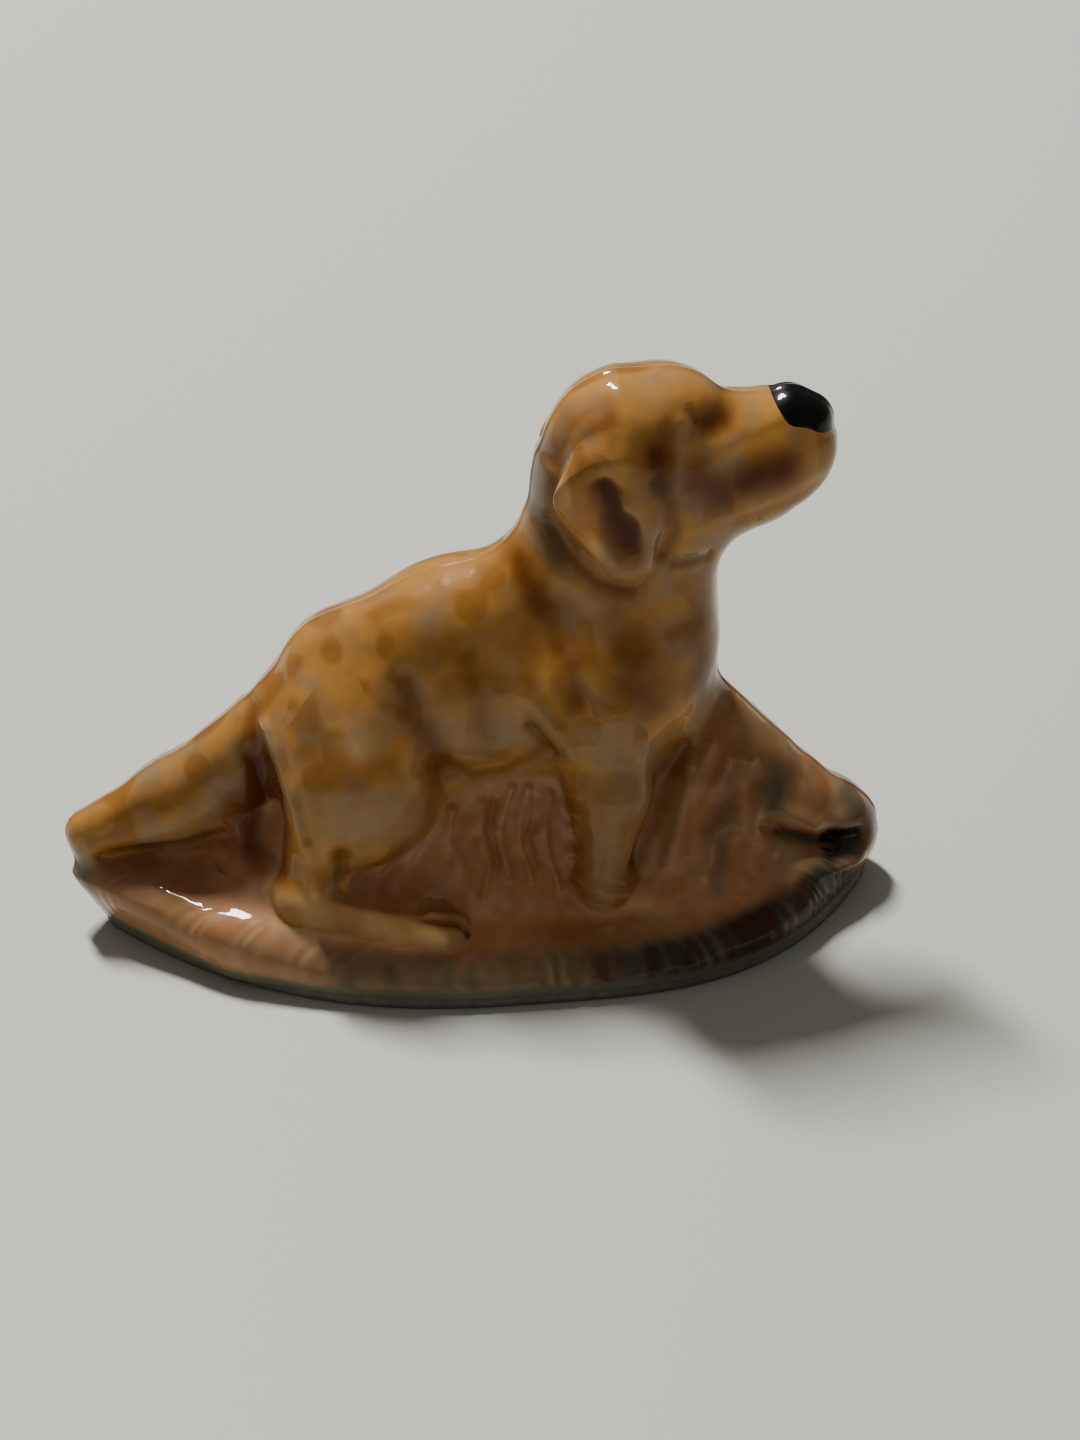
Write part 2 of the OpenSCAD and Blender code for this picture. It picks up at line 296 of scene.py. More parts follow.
# ---------------------------------------------------------------------------
# GROUND. The web of earth and grass under the belly, modelled on the slab in
# rolled lumps of clay; it ties the legs together and lets the dies part.
# ---------------------------------------------------------------------------
# a lump: start, end, start radius, end radius, spread across the dog, width worked smooth
lumps = {"ground": [((-9, 0, 4.2), (12.5, 0, 4.4), 5.0, 5.0, 1.1, 3.0),
                    ((-4, 0, 8.0), (6, 0, 8.5), 3.4, 3.6, 1.0, 2.5)]}
# a tool mark cut in the die: its line on the die face (X, Z), width, and height above the
# clay, or depth below it when negative
marks = [
    # strands of grass between thigh and foreleg
    ([(0.2, 8.6), (0.1, 7.2), (0.5, 5.6), (0.0, 4.2)], 0.26, 0.2),
    ([(1.9, 9.3), (1.2, 7.6), (1.2, 6.4), (1.5, 5.0)], 0.26, 0.22),
    ([(2.8, 9.2), (2.2, 7.6), (2.2, 6.4), (2.7, 4.8)], 0.26, 0.22),
    ([(4.0, 8.8), (3.6, 7.4), (3.7, 6.0), (4.2, 4.3)], 0.26, 0.2),
    ([(-1.4, 8.4), (-1.7, 7.0), (-1.1, 5.4)], 0.3, 0.18),
    ([(0.9, 8.6), (0.6, 7.0), (0.9, 5.4)], 0.22, -0.14),
    ([(3.2, 8.6), (2.9, 7.0), (3.2, 5.4)], 0.22, -0.16),
    # a row of knobs behind the foreleg
    ([(5.2, 9.3)], 0.36, 0.2), ([(5.1, 8.2)], 0.36, 0.2), ([(5.0, 7.1)], 0.36, 0.2),
    ([(5.0, 5.9)], 0.36, 0.2), ([(5.2, 4.8)], 0.36, 0.2),
    # strands in front of the foreleg
    ([(8.6, 5.4), (9.9, 7.9), (11.5, 11.1)], 0.5, -0.3),
    ([(10.1, 4.9), (11.2, 7.5), (11.8, 10.0)], 0.34, 0.25),
    ([(11.6, 5.4), (12.0, 9.0), (12.9, 11.1)], 0.34, 0.2),
    ([(12.2, 4.5), (12.8, 6.3), (14.1, 6.9), (15.1, 5.8), (16.2, 4.8)], 0.4, 0.22)]
SOIL = np.array([0.46, 0.27, 0.15])
RUST = np.array([0.42, 0.19, 0.08])


def lump_distance(p, lump):
    """Distance from each point to a tapering round lump: length of the offset from the
    nearest point of its centre line, less the radius there; Y is divided by the spread."""
    a, b, ra, rb, spread, _ = lump
    q = p - np.array(a, np.float32)
    e = np.array(b, np.float32) - np.array(a, np.float32)
    q[:, 1] /= spread
    e[1] /= spread
    t = np.clip(q @ e / (e @ e), 0, 1)
    q -= t[:, None] * e
    return np.sqrt((q * q).sum(1)) - ra - (rb - ra) * t


def stroke(p, points, width):
    """One on a tooled line and a bell curve of the distance to it in the X-Z plane."""
    best = np.full(len(p), 9.0, np.float32)
    for (x0, z0), (x1, z1) in zip(points, points[1:] or points):
        ex, ez = x1 - x0, z1 - z0
        t = np.clip(((p[:, 0] - x0) * ex + (p[:, 2] - z0) * ez)
                    / (ex * ex + ez * ez + 1e-6), 0, 1)
        best = np.minimum(best, np.hypot(p[:, 0] - x0 - ex * t, p[:, 2] - z0 - ez * t))
    return np.exp(-(best / width) ** 2)


def grass_marks(q, forms, coat):
    """Height of the fine upright hair of the grass: a sine across it, bent by noise, low
    on the ground and clear of the dog."""
    grass = smooth_step(-0.1, 0.5, coat - forms["ground"])
    grass *= smooth_step(0.9, 0.2, forms["ground"]) * smooth_step(9.5, 7.5, q[:, 2])
    wave = np.sin((q[:, 0] - 0.35 * q[:, 2]) * 4.2 + mottle(q, 1.6, 3.0) * 5.0)
    return grass * 0.05 * wave * smooth_step(2.6, 3.6, q[:, 2])


def ground_wash(q):
    """Purple-brown soil with rust clouds in it."""
    rust = np.clip(2.8 * (mottle(q, 1.7, 31.0) * 0.55 + mottle(q, 0.6, 33.0) * 0.45) - 0.75,
                   0, 1)
    return laid(SOIL, RUST, rust)


waiting.append(dict(form="ground", nodes=["ground"], glaze=earth_glaze, slot="ground_glaze",
                    start=(-8, 0, 6.6), end=(11, 0, 6.6), around=320, along=280, reach=9))

# ---------------------------------------------------------------------------
# BANK. The rise of earth in front of the chest, with a hollow and a rounded
# lip at its end; it holds the chest up in the dies and in the kiln.
# ---------------------------------------------------------------------------
lumps["bank"] = [((12.6, 0, 9.6), (17.0, 0, 5.9), 3.5, 2.7, 1.1, 2.2),
                 ((17.2, 0, 4.6), (20.3, 0, 3.8), 2.1, 2.2, 1.25, 2.0)]
marks += [
    # hollow below the crest and the rounded mass beside it
    ([(13.2, 8.6), (14.0, 10.2), (15.3, 9.6)], 0.4, 0.16), ([(15.3, 8.2)], 0.9, -0.3),
    ([(16.8, 6.7), (17.7, 6.0), (18.9, 5.1)], 0.5, 0.25),
    ([(15.6, 9.6), (17.2, 8.6)], 0.9, 0.08),
    # slot, its deep end, and the lip under it
    ([(16.0, 5.8), (17.3, 5.0), (18.6, 4.4), (20.0, 4.0)], 0.38, -0.38),
    ([(20.0, 4.0), (21.4, 3.7)], 0.6, -0.6),
    ([(16.6, 4.5), (17.9, 3.7), (19.7, 3.2), (21.5, 2.6)], 0.45, 0.2)]
# patches of stain: line on the die face, half width, strength
bank_cream = [([(16.8, 6.7), (17.7, 6.0), (18.8, 5.3)], 0.5, 0.8),
              ([(16.6, 4.5), (18.0, 3.6), (21.4, 2.6)], 0.5, 0.6),
              ([(10.2, 5.0), (11.8, 10.0)], 0.3, 0.6),
              ([(15.4, 11.2), (16.6, 10.1), (17.9, 8.8)], 0.5, 0.5),
              ([(12.2, 4.5), (12.8, 6.3), (14.1, 6.9), (15.1, 5.8)], 0.3, 0.5)]
bank_gold = [([(19.7, 6.6), (19.0, 5.9)], 0.6, 0.9)]
bank_grey = [([(16.9, 7.6)], 1.0, 0.9), ([(21.2, 5.8), (22.3, 4.0)], 1.1, 0.85),
             ([(12.9, 4.2), (14.2, 9.0)], 0.7, 0.5)]
# painted shade: nearly black laid along the slot and its deep end
slot_painted_shade = [([(19.9, 4.1), (21.2, 3.9)], 0.45, 2.5),
             ([(16.8, 5.3), (18.6, 4.4), (19.6, 4.1)], 0.33, 0.9)]


def patches(p, table, seed):
    """The strongest of a table of soft patches, each with an edge broken by noise."""
    ragged = p + 1.1 * (np.stack([mottle(p, 1.3, seed), mottle(p, 1.3, seed + 7),
                                  mottle(p, 1.3, seed + 13)], 1) - 0.5)
    total = np.zeros(len(p))
    for points, width, strength in table:
        total = np.maximum(total, strength * stroke(ragged, points, width))
    return total


def bank_wash(soil, q, forms):
    """Honey on the crest, cream on the ridges, gold and grey-green at the end, and nearly
    black painted shade in the slot."""
    crest = smooth_step(0.1, 0.8, forms["ground"] - forms["bank"]) * smooth_step(6, 9, q[:, 2])
    soil = laid(soil, HONEY * 0.42, crest * 0.7)
    soil = laid(soil, CREAM, patches(q, bank_cream, 43.0))
    soil = laid(soil, HONEY * 0.6, patches(q, bank_gold, 57.0))
    soil = laid(soil, MOSS * 0.5, patches(q, bank_grey, 47.0))
    # the nearly black painted shade of the slot
    dark = sum(strength * stroke(q, points, width) for points, width, strength in slot_painted_shade)
    return laid(soil, MOSS * 0.08, np.clip(dark, 0, 1))


waiting.append(dict(form="bank", nodes=["bank"], glaze=earth_glaze, slot="bank_glaze",
                    start=(14.6, 0, 6.6), end=(18, 0, 5.2), around=300, along=220, reach=8))

# ---------------------------------------------------------------------------
# TORSO. Rib cage, loin and belly, the thickest part of the porcelain, sponged
# honey with tawny dabs and wiped bare on the ribs; the glaze is worn dull on
# the withers, where the piece is picked up.
# ---------------------------------------------------------------------------
lumps["torso"] = [((-6.6, 0, 12.3), (-1.0, 0, 13.9), 4.8, 5.0, 1.0, 2.5),
                  ((-1.0, 0, 13.9), (7.8, 0, 14.8), 5.0, 5.85, 0.93, 2.0),
                  ((-6.8, 0, 16.2), (-1.0, 0, 17.8), 2.4, 2.4, 1.15, 3.0),
                  ((-1.0, 0, 17.8), (4.6, 0, 20.2), 2.4, 2.2, 1.15, 3.0)]
marks += [
    # shoulder blade, ribs and the folds on the flank
    ([(4.6, 20.4), (4.9, 18.1), (5.3, 15.6)], 0.8, -0.2),
    ([(-0.6, 17.9), (0.4, 15.8), (0.8, 13.4)], 0.7, -0.16),
    ([(1.9, 17.6), (2.4, 15.4)], 0.6, 0.14),
    # belly and its fringe of hair
    ([(-1.9, 11.6), (0.0, 10.4), (1.8, 10.6), (3.6, 11.8)], 0.6, -0.2),
    ([(-1.2, 12.0), (1.4, 11.3)], 0.3, 0.08)]
TAWNY = np.array([0.27, 0.10, 0.013])
dabs = [([(5.3, 18.5), (5.4, 15.0)], 0.7, 0.8), ([(-3.6, 18.3), (-0.4, 18.0)], 0.8, 0.6),
        ([(-1.3, 16.2), (0.5, 16.8)], 1.0, 0.7), ([(3.2, 18.6), (2.8, 16.2)], 0.8, 0.7),
        ([(0.9, 21.4), (3.0, 22.4)], 0.6, 0.5)]
wiped = [([(-0.6, 12.9), (3.0, 13.1)], 0.9, 0.75), ([(-3.0, 19.4), (-1.6, 20.0)], 0.6, 0.5),
         ([(1.8, 17.2), (2.2, 14.6)], 0.6, 0.5), ([(0.2, 15.2), (0.2, 13.6)], 0.6, 0.5)]
# patches of painted light: the colour is made lighter by the strength, and darker where the
# strength is negative
painted_light_patches = [([(5.0, 18.4), (4.0, 17.0)], 1.4, 0.5)]
WORN = [(-3.2, 20.6), (-0.6, 21.1), (2.2, 21.9)]    # line along the withers


def coat_wash(q, n, cloud, bare):
    """Honey by how far the coat faces up, clouded, less the wiped places; then tawny, in
    dabs and in a loose scatter."""
    honey = np.clip(0.5 + 0.45 * np.clip(n[:, 2], 0, 1) + 2.6 * (cloud - 0.5), 0.02, 1)
    colour = laid(CREAM, HONEY, honey * (1 - 0.9 * bare))
    dab = np.clip(patches(q, dabs, 23.0) * (0.6 + 0.9 * mottle(q, 0.9, 29.0)), 0, 1)
    dab = np.maximum(dab, 0.8 * smooth_step(0.54, 0.74, mottle(q, 1.5, 37.0)))
    return laid(colour, TAWNY, 0.75 * dab * (1 - 0.8 * bare))


coat_glaze = glaze("honey coat glaze", 1.0)
waiting.append(dict(form="torso", nodes=["torso"], slot="coat_glaze",
                    glaze=glaze("worn back glaze", 1.0, worn=True),
                    start=(-5.5, 0, 13.6), end=(5.5, 0, 14.6), around=320, along=280, reach=11))

# ---------------------------------------------------------------------------
# TAIL. A heavy feathered tail laid out along the plinth to its point; a groove
# under it parts it from the ground, and tufts of hair are cut in its side.
# ---------------------------------------------------------------------------
lumps["tail"] = [((-11.0, 0, 11.1), (-16.5, 0, 7.7), 2.8, 2.3, 0.95, 2.5),
                 ((-16.5, 0, 7.7), (-21.3, 0, 5.9), 2.3, 1.5, 0.95, 1.2)]
marks += [([(-20.6, 4.9), (-18.2, 5.3), (-14.0, 6.2)], 0.55, -0.28),
          ([(-20.0, 6.9), (-17.0, 8.7)], 0.5, -0.06), ([(-18.2, 6.5), (-15.6, 8.2)], 0.5, 0.06),
          ([(-16.6, 7.4), (-14.0, 9.6)], 0.5, -0.06), ([(-14.6, 8.6), (-12.6, 11.0)], 0.5, 0.1),
          ([(-11.9, 13.7), (-11.6, 12.4)], 0.5, -0.22)]
dabs += [([(-19.4, 7.4), (-17.0, 8.6)], 0.6, 0.7), ([(-16.0, 8.9), (-13.9, 10.8)], 0.6, 0.6)]
wiped += [([(-14.4, 8.4), (-12.4, 11.4)], 0.5, 0.7), ([(-18.6, 5.9), (-15.0, 7.2)], 0.4, 0.6)]


def tail_wash_and_shade(colour, q):
    """Grey-green on the underside of the tip, and brown painted shade in the deep root of the
    tail.
    """
    tip = smooth_step(-20.6, -22.4, q[:, 0]) * smooth_step(7.0, 4.6, q[:, 2])
    colour = laid(colour, MOSS, 0.8 * tip)
    # painted shade: brown laid in the deep root of the tail
    return laid(colour, BROWN, 0.75 * stroke(q, [(-13.0, 8.8), (-12.6, 6.2)], 1.0))


waiting.append(dict(form="tail", nodes=["tail"], glaze=coat_glaze, slot="coat_glaze",
                    start=(-13, 0, 9.4), end=(-19.5, 0, 6.6), around=220, along=240, reach=7))

# ---------------------------------------------------------------------------
# HAUNCHES. Bent thigh, hock and heel of a sitting dog, one on each side, with
# a crease in front, a ridge behind and a recess between thigh and tail, darkened
# with painted shade.
# ---------------------------------------------------------------------------
lumps["haunch"] = [((-6.3, 3.2, 12.0), (-6.6, 4.3, 10.0), 4.1, 4.1, 0.72, 2.0),
                   ((-8.6, 4.8, 8.0), (-9.7, 5.8, 4.8), 1.8, 1.2, 1.0, 1.6)]
marks += [
    # front crease, lower edge, back ridge and the recess behind it
    ([(-3.7, 16.6), (-2.8, 14.6), (-2.1, 12.6), (-1.9, 10.9)], 0.75, -0.26),
    ([(-2.2, 9.8), (-3.2, 7.6), (-4.8, 6.2), (-6.8, 5.5)], 0.6, -0.12),
    ([(-11.3, 13.4), (-10.7, 11.8), (-10.0, 10.2), (-9.7, 8.0)], 0.42, 0.3),
    ([(-11.7, 11.2), (-11.4, 8.4), (-11.8, 6.4)], 0.9, -0.55),
    # hock: tendon and the hollow beside it; crown of the thigh
    ([(-9.4, 8.2), (-9.1, 5.6)], 0.4, 0.22), ([(-7.6, 7.6), (-7.7, 5.9)], 0.45, -0.25),
    ([(-6.4, 13.6)], 1.3, 0.2)]
dabs += [([(-9.6, 15.2), (-9.0, 13.4)], 0.8, 0.6), ([(-8.3, 12.7), (-4.6, 12.3)], 0.75, 0.8),
         ([(-4.1, 15.4), (-2.4, 12.2)], 0.6, 0.8), ([(-11.7, 11.4), (-11.3, 6.2)], 1.1, 1.0),
         ([(-10.2, 9.6), (-10.4, 6.4)], 0.5, 0.5)]
wiped += [([(-8.0, 9.6), (-4.0, 8.8)], 1.7, 0.85), ([(-6.4, 14.0)], 1.0, 0.9),
          ([(-11.3, 13.4), (-9.8, 9.0)], 0.45, 0.8)]
# painted light on the crown of the thigh
painted_light_patches += [([(-6.6, 13.8)], 1.3, 0.9)]


def haunch_painted_shade(colour, q):
    """Painted shade: brown laid in the recess behind the thigh."""
    # painted shade in the recess behind the thigh
    return laid(colour, BROWN, 0.7 * stroke(q, [(-11.8, 11.0), (-11.4, 6.4)], 0.9))


waiting.append(dict(form="haunch", nodes=["left_haunch", "right_haunch"], glaze=coat_glaze,
                    slot="coat_glaze", start=(-6.4, 4.2, 11.6), end=(-8.4, 5.2, 7.4),
                    around=280, along=240, reach=9, up=(0, 1, 0)))

# ---------------------------------------------------------------------------
# HIND FEET. Long low feet lying on the plinth with their toes forward; the
# toes are parted with a point pushed in from above.
# ---------------------------------------------------------------------------
lumps["hind_foot"] = [((-9.9, 6.6, 4.0), (-4.6, 8.4, 3.5), 0.85, 0.6, 1.0, 1.3),
                      ((-4.6, 8.4, 3.5), (-1.8, 8.5, 3.2), 0.6, 0.72, 1.45, 0.6)]
marks += [([(-11.3, 4.9)], 0.6, 0.1)]
wiped += [([(-11.4, 5.0), (-1.6, 3.4)], 0.9, 0.75)]
# painted light along the tops of the hind feet
painted_light_patches += [([(-9.5, 5.0), (-3.0, 3.9)], 0.8, 1.0)]
# marks cut from above: start X, Y, end X, Y, width, height
TOES = [(-3.0, 7.9, -1.2, 8.1, 0.3, 0.25), (-3.6, 9.0, -2.4, 9.4, 0.3, 0.3),
        (-3.2, 8.5, -1.2, 8.8, 0.22, -0.35), (-8.6, 7.1, -4.0, 8.7, 0.3, 0.12)]


def toe_marks(q, forms):
    """Height of the toes: bell curves of the distance to short lines seen from above."""
    x, y = q[:, 0], np.abs(q[:, 1])
    h = np.zeros(len(q))
    for x0, y0, x1, y1, width, height in TOES:
        ex, ey = x1 - x0, y1 - y0
        t = np.clip(((x - x0) * ex + (y - y0) * ey) / (ex * ex + ey * ey), 0, 1)
        h += height * np.exp(-(np.hypot(x - x0 - ex * t, y - y0 - ey * t) / width) ** 2)
    return h * smooth_step(0.5, 0.0, forms["hind_foot"])


waiting.append(dict(form="hind_foot", nodes=["left_hind_foot", "right_hind_foot"],
                    glaze=coat_glaze, slot="limb_glaze", start=(-9.2, 7.0, 4.1),
                    end=(-2.8, 8.2, 3.5), around=160, along=200, reach=4))

# ---------------------------------------------------------------------------
# NECK. A thick upright neck and the chest below it, with a fold of skin behind
# each ear and one under the throat; the chest is sponged dark.
# ---------------------------------------------------------------------------
lumps["neck"] = [((6.6, 0, 18.0), (7.9, 0, 24.5), 4.7, 4.3, 0.9, 2.5),
                 ((9.2, 0, 17.5), (9.8, 0, 22.5), 4.2, 4.2, 0.9, 2.0)]
marks += [([(4.5, 25.0), (5.5, 23.1), (6.9, 21.8), (8.5, 21.3)], 0.4, -0.18),
          ([(3.9, 24.0), (5.0, 22.1), (6.6, 20.8)], 0.6, 0.15),
          ([(4.3, 27.4), (4.3, 24.9)], 0.4, 0.15), ([(10.9, 22.5), (12.7, 22.3)], 0.4, -0.2)]
dabs += [([(2.9, 22.2), (3.6, 20.5), (4.2, 18.4)], 0.9, 0.9),
         ([(10.8, 18.6), (12.3, 18.2)], 0.6, 1.0), ([(8.0, 19.6), (9.4, 15.6)], 1.9, 0.75),
         ([(7.2, 20.6), (11.4, 21.0)], 0.8, 0.4)]
wiped += [([(3.9, 28.4), (3.6, 25.5), (4.8, 23.2), (6.5, 21.6)], 0.7, 0.75),
          ([(6.5, 21.4), (9.5, 21.2), (12.5, 21.9)], 0.6, 0.3)]
# a patch with negative strength: the colour made darker behind the ear
painted_light_patches += [([(3.9, 28.0), (3.6, 25.5), (4.6, 23.0)], 0.9, -0.6)]
chest_dark = [([(12.0, 18.6), (12.8, 16.6), (12.8, 14.6)], 1.2, 1.0),
              ([(8.6, 17.6), (9.3, 15.2)], 1.2, 1.0)]
# sprayed spots of brown, one of them partly painted shade in the eye hollow: line on the die
# face, half width, strength
sprayed_and_socket_shade = [([(2.9, 22.1), (3.6, 20.4)], 0.7, 0.6)]


def chest_wash(colour, q, bare):
    """Deep tawny on the chest, less where it was wiped."""
    chest = patches(q, chest_dark, 53.0)
    return laid(colour, TAWNY * 0.55, 0.75 * chest * (1 - 0.6 * bare))


waiting.append(dict(form="neck", nodes=["neck"], glaze=coat_glaze, slot="coat_glaze",
                    start=(7.4, 0, 20.6), end=(8.2, 0, 23), around=300, along=220, reach=9,
                    up=(1, 0, 0)))

# ---------------------------------------------------------------------------
# FORELEGS. Two straight legs pressed as low relief on the web behind them,
# from the elbow fold to the toes; the wash is drawn thin down their fronts.
# ---------------------------------------------------------------------------
lumps["foreleg"] = [((6.9, 3.4, 13.0), (7.4, 4.8, 9.0), 2.9, 1.8, 0.9, 1.6),
                    ((7.4, 4.8, 9.0), (6.6, 6.6, 4.0), 1.8, 1.05, 1.2, 1.0)]
marks += [
    # upper arm and elbow
    ([(2.7, 15.8), (3.9, 14.0), (5.0, 12.3)], 0.6, 0.35),
    ([(5.1, 11.6), (5.2, 10.0)], 0.5, 0.25), ([(3.0, 13.8), (4.3, 12.0)], 0.4, -0.28),
    ([(6.2, 16.8), (7.4, 14.6), (7.6, 12.4)], 0.7, 0.2),
    # shin and toes
    ([(7.4, 10.0), (6.9, 7.3), (6.4, 5.2)], 0.5, 0.12),
    ([(6.2, 4.7), (8.6, 3.9), (10.2, 3.6)], 0.5, 0.2)]
dabs += [([(3.0, 13.6), (4.2, 11.8)], 0.5, 0.7), ([(5.2, 10.6), (4.9, 4.6)], 0.7, 1.0)]
wiped += [([(8.0, 11.6), (7.2, 8.0), (6.5, 4.9)], 0.85, 0.95),
          ([(3.0, 15.2), (4.9, 12.4)], 0.5, 0.8),
          ([(13.6, 12.9), (11.2, 12.0), (8.8, 12.3), (6.2, 13.4)], 0.55, 0.75)]


def leg_wash(colour, q, forms, bare):
    """Thin greyish cream down the leg, thicker towards the toes."""
    leg = smooth_step(0.5, 0.0, forms["foreleg"]) * smooth_step(11.5, 9.0, q[:, 2])
    leg *= 0.55 + 0.35 * smooth_step(5.6, 4.4, q[:, 2])
    return laid(colour, CREAM * (0.82, 0.72, 0.62), leg * (1 - bare))


waiting.append(dict(form="foreleg", nodes=["left_foreleg", "right_foreleg"], glaze=coat_glaze,
                    slot="limb_glaze", start=(6.9, 4.4, 12.2), end=(6.8, 6.0, 5.4),
                    around=220, along=240, reach=6, up=(0, 1, 0)))

# ---------------------------------------------------------------------------
# HEAD. Round skull and square muzzle, looking ahead and a little up, with soft
# hollows for the eyes; brown is sprayed on the cheeks and round the eyes, and the
# brown in the eye hollows is partly painted shade.
# ---------------------------------------------------------------------------
lumps["head"] = [((9.0, 0, 27.4), (10.4, 0, 27.6), 4.75, 4.55, 0.95, 1.6),
                 ((11.5, 0, 25.5), (15.1, 0, 26.2), 3.9, 3.55, 0.82, 2.0),
                 ((14.8, 0, 26.7), (17.4, 0, 27.0), 3.25, 2.75, 0.85, 1.5)]
marks += [
    # eye hollow, brow, eyelid and the corner of the eye
    ([(12.1, 30.1), (13.6, 29.9)], 0.7, -0.18),
    ([(10.4, 31.2), (11.4, 31.5), (12.3, 31.2)], 0.7, 0.1),
    ([(11.3, 30.5), (11.7, 30.1)], 0.3, 0.09), ([(11.8, 30.8), (12.1, 30.3)], 0.2, -0.1),
    # cheekbone, flews, bridge of the muzzle and the stop
    ([(16.2, 29.7), (14.4, 29.2), (13.2, 28.4), (12.0, 27.9)], 0.85, 0.2),
    ([(16.0, 27.4)], 1.8, 0.1), ([(17.0, 29.8)], 1.3, 0.3), ([(14.0, 30.4)], 0.8, -0.1),
    # side of the skull, root of the ear, mouth, and the creases round the ear
    ([(7.0, 30.0), (9.8, 30.5)], 1.0, 0.18), ([(6.6, 28.8), (8.0, 29.0)], 0.7, 0.25),
    ([(19.0, 25.9), (17.3, 25.2), (14.0, 24.2)], 0.45, -0.06),
    ([(9.9, 27.6), (10.5, 26.2), (10.8, 24.6), (10.3, 23.2)], 0.55, -0.3),
    ([(4.6, 28.2), (5.5, 29.8), (7.2, 31.0)], 0.7, -0.06)]
wiped += [([(19.6, 25.8), (17.3, 24.0), (14.0, 22.7), (11.0, 22.4)], 0.55, 0.9),
          ([(15.2, 29.6), (12.0, 28.4)], 0.5, 0.5), ([(9.8, 30.9), (11.2, 30.4)], 0.8, 0.2)]
# painted light along the bridge of the muzzle; the skull top and the jaw made darker
painted_light_patches += [([(13.4, 28.7), (16.8, 29.0)], 0.8, 0.7), ([(9.0, 31.8), (12.0, 31.4)], 1.2, -0.2),
            ([(19.0, 24.6), (14.0, 22.6)], 0.8, -0.25)]
# the fourth spot here, in the eye hollow, is partly sprayed brown and partly painted shade
sprayed_and_socket_shade += [([(9.9, 29.0), (10.3, 27.3)], 1.15, 0.95), ([(12.1, 27.2), (13.3, 26.4)], 1.6, 1.0),
            ([(14.6, 26.7), (16.8, 27.0)], 1.3, 1.0), ([(12.6, 30.0), (13.7, 29.9)], 0.7, 0.75),
            ([(4.9, 28.3), (5.8, 30.0), (7.6, 30.9)], 0.6, 0.6)]
waiting.append(dict(form="head", nodes=["head"], glaze=coat_glaze, slot="coat_glaze",
                    start=(9.6, 0, 27.6), end=(16, 0, 26.9), around=300, along=280, reach=8))

# ---------------------------------------------------------------------------
# NOSE. A dab of black enamel brushed over the nose leather and fired on, after
# the glaze; it stands a little proud and has its own edge.
# ---------------------------------------------------------------------------
lumps["nose"] = [((17.7, 0, 29.0), (18.5, 0, 28.7), 1.4, 1.35, 1.15, 0.3),
                 ((18.6, 0, 28.5), (19.1, 0, 27.5), 1.0, 0.75, 1.2, 0.3)]
enamel = bpy.data.materials.new("black enamel")
enamel.use_nodes = True
enamel_shader = enamel.node_tree.nodes["Principled BSDF"]
enamel_shader.inputs["Base Color"].default_value = (0.003, 0.003, 0.0032, 1)
enamel_shader.inputs["Roughness"].default_value = 0.35
enamel_shader.inputs["Specular IOR Level"].default_value = 0.05
enamel_shader.inputs["Coat Weight"].default_value = 1.0
enamel_shader.inputs["Coat IOR"].default_value = 1.3
enamel_shader.inputs["Coat Roughness"].default_value = 0.03
waiting.append(dict(form="nose", nodes=["nose"], glaze=enamel, slot="nose_enamel",
                    start=(17.9, 0, 28.9), end=(18.5, 0, 28.5), around=200, along=160, reach=3))

# ---------------------------------------------------------------------------
# EARS. Hanging flaps laid on the sides of the head, cupped in the middle and
# rolled at the rim; the cup is sprayed brown and the rim wiped bare.
# ---------------------------------------------------------------------------
lumps["ear"] = [((7.4, 2.9, 28.7), (7.3, 3.8, 26.7), 0.9, 2.35, 0.42, 1.8),
                ((7.3, 3.8, 26.7), (8.4, 4.35, 23.4), 2.35, 1.25, 0.42, 0.9)]


def ear_edge(p):
    """How far inside the outline of the ear a point is, seen from the side."""
    flat = p.copy()
    flat[:, 1] = 0
    sides = [((a[0], 0, a[2]), (b[0], 0, b[2]), ra, rb, 1.0, k)
             for a, b, ra, rb, _, k in lumps["ear"]]
    return -np.minimum(*[lump_distance(flat, side) for side in sides])


def ear_marks(q, forms):
    """Height of the rolled rim, a bell curve along the edge, less the depth of the cup."""
    inside = ear_edge(q)
    on_ear = smooth_step(0.3, -0.3, forms["ear"] - forms["head"] + 0.2)
    cup = stroke(q, [(7.3, 27.8), (7.8, 26.2), (8.5, 24.3)], 1.0)
    cup *= smooth_step(0.2, 1.0, inside)
    rim = np.exp(-((inside - 0.45) / 0.32) ** 2) * smooth_step(29.0, 27.0, q[:, 2])
    return on_ear * (0.09 * rim * smooth_step(6.4, 8.0, q[:, 0]) - 0.3 * cup)


def ear_wiped(q, forms):
    """One along the front and the lower edge of the ear."""
    front = np.maximum(smooth_step(7.0, 8.2, q[:, 0]), smooth_step(25.2, 23.8, q[:, 2]))
    on_ear = smooth_step(0.5, 0.1, forms["ear"])
    return on_ear * 0.9 * front * smooth_step(0.95, 0.35, ear_edge(q))


